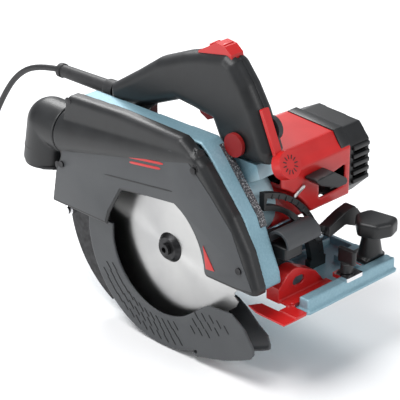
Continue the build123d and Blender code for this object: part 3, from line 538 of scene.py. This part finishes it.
def dress_select_lever():
    """Cap of the selector with its fan of slots."""
    normal = Vector((0.909, 0, 0.415)).normalized()
    across_face = Vector((0, 1, 0))
    up_face = normal.cross(across_face)
    centre = Vector((139.93, CUT_Y + 42, 170.82)) + normal * 14.8
    plane = Matrix((across_face, up_face, normal)).transposed().to_4x4()
    plane.translation = centre
    marks = []
    for k in range(12):
        turn = 30 * k
        marks.append((plane, lozenge(9 * math.cos(math.radians(turn)), 9 * math.sin(math.radians(turn)),
                                     5.5, 1.1, turn), 0.45, 0.1))
    prisms("selector_marks", "select_lever", DARK, marks)


# ---- Motor ----
def dress_motor():
    """Motor barrel with its long steps, the dark band and the ribbed end."""
    moulded("motor_barrel", ["motor_housing"], 1.7, 4, RED)
    moulded("motor_end_cap", ["motor_end"], 1.5, 3, BLACK)
    steps = [(side(180), [(104, 163.5), (108, 157), (112.5, 150.5), (110, 149), (101, 161)], 108, 0.6)]
    prisms("motor_steps", "saw_unit", RED, steps)
    band = [(30, 164.5), (98, 161.5), (112, 149), (118.5, 141), (118.5, 146), (105, 164.6), (30, 167.2)]
    prisms("motor_band", "saw_unit", BLACK, [(side(186.8), band, 16, 0.5)])
    rod = [(across(120.6), lozenge(93.5, 115, 21, 5, 27), 2.4, 0.6)]
    prisms("lever_rod", "saw_unit", STEEL, rod)
    fins = []
    for k in range(5):
        z = 88 + 11 * k
        fins.append((level(z), [(113, 196), (117.5, 197), (117.5, 226), (113, 227)], 5.5, 1.2))
    prisms("end_fins", "saw_unit", BLACK, fins)


# ---- Sole, arcs and small fittings ----
def dress_sole():
    """Softened castings and mouldings round the sole."""
    moulded("sole_casting", ["sole_plate"], 1.5, 2, BLUE)
    moulded("chip_shield", ["chip_guard"], 1.0, 3, RED)
    moulded("knob", ["front_knob"], 1.4, 18, BLACK)
    moulded("grip_half_round", ["depth_grip"], 1.0, 2, GREY)
    moulded("tilt_lever", ["bevel_lever"], 1.0, 4, BLACK)
    moulded("height_lever", ["depth_lever"], 1.0, 4, BLACK)
    moulded("carriage_casting", ["carriage"], 1.3, 3, BLACK)
    for end in ("front", "rear"):
        moulded("wing_" + end, ["wing_screw_" + end], 0.8, 4, BLACK)
    pads = []
    for k in range(4):
        pads.append((across(147.2), lozenge(158 + 4 * k, 66 + 1.5 * k, 9, 1.3, 70), 0.7, 0.25))
    prisms("tilt_lever_pads", "bevel_lever", BLACK, pads)
    prisms("scale_line", "base", RED, [(level(15.1), lozenge(158, 150, 34, 1.2, 0), 0.5, 0.1)])


def dress_ribs():
    """Cast cross ribs between the sole's long ribs."""
    ribs = []
    for x in (-130, -85, -40, 5, 50, 95):
        ribs.append((level(4), [(x - 1.5, 103), (x + 1.5, 103), (x + 1.5, 182), (x - 1.5, 182)], 8, 0.6))
    prisms("sole_ribs", "base", BLUE, ribs)


def dress_scale():
    """Depth scale lying on the casting's curved rim, with its graduations."""
    mesh = nodes["guard_housing"].data
    tree = BVHTree.FromPolygons([v.co for v in mesh.vertices], [p.vertices for p in mesh.polygons])
    centre = Vector((0, (CUT_Y + 18) * MM, ARBOR_Z * MM))
    rim = []
    for k in range(30):
        angle = math.radians(27 + 1.35 * k)
        out = Vector((math.cos(angle), 0, math.sin(angle)))
        hit = tree.ray_cast(centre + out * 0.4, -out)[0]
        rim.append((out, (hit - centre).length / MM))
    inner = [(r * out.x, ARBOR_Z + r * out.z) for out, r in rim]
    outer = [((r + 1.3) * out.x, ARBOR_Z + (r + 1.3) * out.z) for out, r in rim]
    plate = [(side(23), inner + outer[::-1], 10, 0)]
    strip = prisms("depth_scale", "saw_unit", SPECKLE, plate)
    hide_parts("scale_strip")
    marks = []
    for k in range(2, 28):
        out, r = rim[k]
        angle = math.degrees(math.atan2(out.z, out.x))
        x, z = (r + 1.35) * out.x, ARBOR_Z + (r + 1.35) * out.z
        marks.append((side(22.5), lozenge(x, z, 0.5, 0.55, angle), 6 if k % 5 == 2 else 3.2, 0))
    prisms("scale_marks", "saw_unit", STEEL, marks)


def dress_arcs():
    """Rungs between the rims of the bevel arcs."""
    for name, x in (("front", 118.0), ("rear", -166.0)):
        rungs = []
        for k in range(13):
            angle = 10 + 5.6 * k
            u = 133.5 * math.cos(math.radians(angle))
            v = 133.5 * math.sin(math.radians(angle))
            if u > 32:
                rungs.append((across(x + 7.9), lozenge(u, v, 6.5, 2.4, angle), 0.9, 0.3))
        prisms(f"{name}_arc_rungs", "base", DARK, rungs)


# ---- Duct elbow and strain relief ----
SPOUT_X = -212.5


def dress_elbow():
    """Elbow with a stepped collar at its mouth."""
    moulded("elbow_shell", ["dust_elbow"], 1.5, 4, BLACK)
    low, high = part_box("dust_elbow")
    reach = (high.y - low.y) / 2 / MM
    middle = (SPOUT_X, (low.y + high.y) / 2 / MM)
    collar = bmesh.new()
    for drop, grow in ((4.0, -0.6), (20.0, -0.7), (25.0, -0.5)):
        z = low.z / MM + drop
        rim = [(reach + grow, 0.0), (reach + grow + 0.5, 0.8), (reach + grow + 0.5, 2.4),
               (reach + grow, 3.2), (reach - 1.0, 3.2), (reach - 1.0, 0.0)]
        rows = [round_row(collar, r, z + up, COLLAR_STEPS, middle) for r, up in rim]
        for row, after in zip(rows, rows[1:] + rows[:1]):
            join_rows(collar, row, after)
    piece_of(collar, "elbow_collar", "dust_elbow", BLACK)
    relief = [(0, 11.4), (1, 11.4), (14, 11.2), (16, 10.4), (16.5, 9.1), (60, 8.6), (97, 8.2), (98, 9.4),
              (104, 9.3), (105, 7.0)]
    turned("cord_boot", ["strain_relief"], EXIT, RELIEF_AXIS, relief, RUBBER)


aim_camera()
build_stage()
lay_cord()
dress_guard()
dress_lower_guard()
dress_handle()
dress_select_lever()
dress_motor()
dress_sole()
dress_ribs()
dress_scale()
dress_arcs()
dress_elbow()
